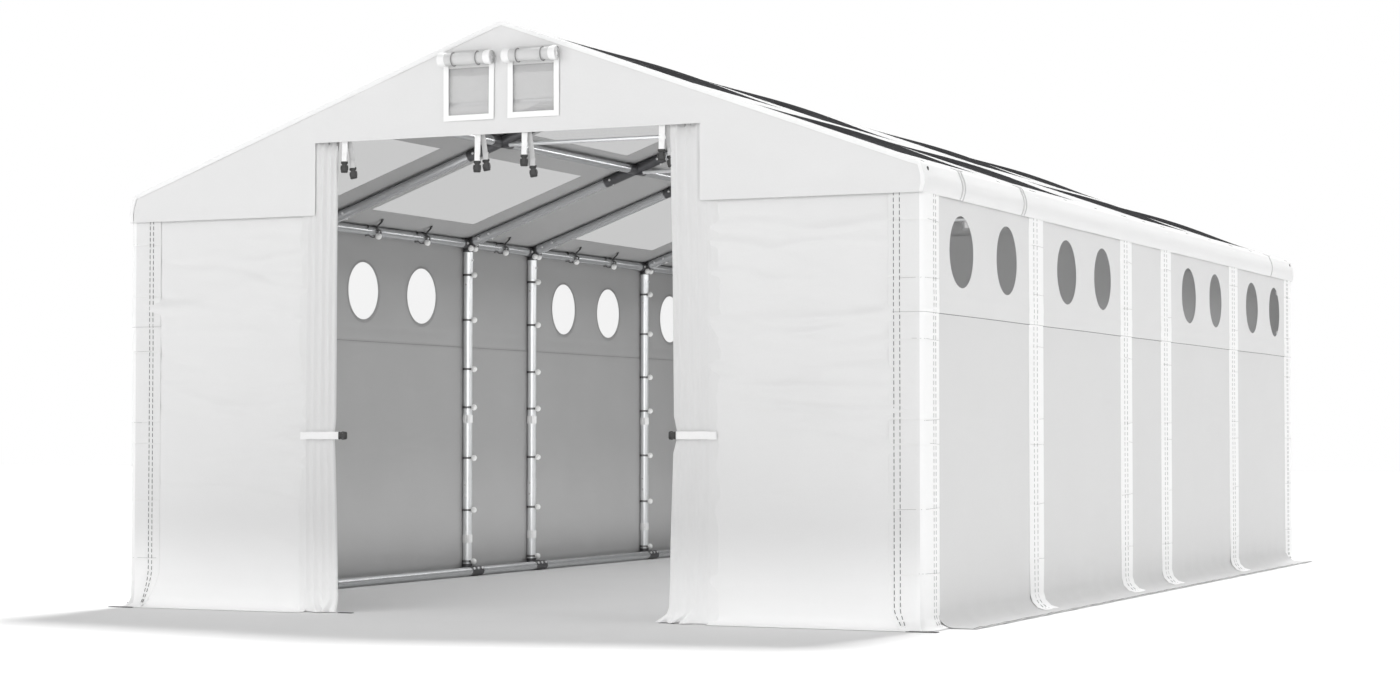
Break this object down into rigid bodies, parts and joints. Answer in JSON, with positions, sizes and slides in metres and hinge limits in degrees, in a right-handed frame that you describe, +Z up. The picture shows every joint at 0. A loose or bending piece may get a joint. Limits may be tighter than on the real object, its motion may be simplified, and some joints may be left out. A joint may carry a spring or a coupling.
{
  "type": "marquee tent",
  "caption": "Gabled marquee tent with a steel tube frame, clear round wall windows, roof panes and gathered door curtains.",
  "frame": {"origin": "middle of the tent on the floor", "axes": "+Z up, +Y along the ridge from the door end to the back, +X to the right as seen from the door end"},
  "size_m": [5.44, 9.2342, 3.3545],
  "materials": {
    "white_fabric": "coated, satin",
    "window_foil": "clear flexible foil",
    "roof_foil": "clear flexible foil, slightly grey",
    "galvanised_tube": "galvanised, satin",
    "vent_mesh": "fine insect mesh",
    "webbing": "woven strap"
  },
  "bodies": {
    "root": {"post_left_1": "galvanised_tube", "post_left_2": "galvanised_tube", "post_left_3": "galvanised_tube", "post_left_4": "galvanised_tube", "post_left_5": "galvanised_tube", "post_left_6": "galvanised_tube", "post_right_1": "galvanised_tube", "post_right_2": "galvanised_tube", "post_right_3": "galvanised_tube", "post_right_4": "galvanised_tube", "post_right_5": "galvanised_tube", "post_right_6": "galvanised_tube", "roof_frame_1": "galvanised_tube", "roof_frame_2": "galvanised_tube", "roof_frame_3": "galvanised_tube", "roof_frame_4": "galvanised_tube", "roof_frame_5": "galvanised_tube", "roof_frame_6": "galvanised_tube", "eave_purlin_left": "galvanised_tube", "eave_purlin_right": "galvanised_tube", "base_rail": "galvanised_tube", "roof_cover": "white_fabric", "gable_front": "white_fabric", "gable_back": "white_fabric", "side_wall_left": "white_fabric", "side_wall_right": "white_fabric", "front_wall_left": "white_fabric", "front_wall_right": "white_fabric", "back_wall_left": "white_fabric", "back_wall_right": "white_fabric", "back_door": "white_fabric", "door_curtain_left": "white_fabric", "door_curtain_right": "white_fabric", "vent_blind_front_left": "white_fabric", "vent_blind_front_right": "white_fabric", "vent_blind_back_left": "white_fabric", "vent_blind_back_right": "white_fabric", "wall_windows_left": "window_foil", "wall_windows_right": "window_foil", "roof_windows_left": "roof_foil", "roof_windows_right": "roof_foil", "vent_screens_front": "vent_mesh", "vent_screens_back": "vent_mesh", "tie_back_left": "webbing", "tie_back_right": "webbing"}
  },
  "joints": []
}
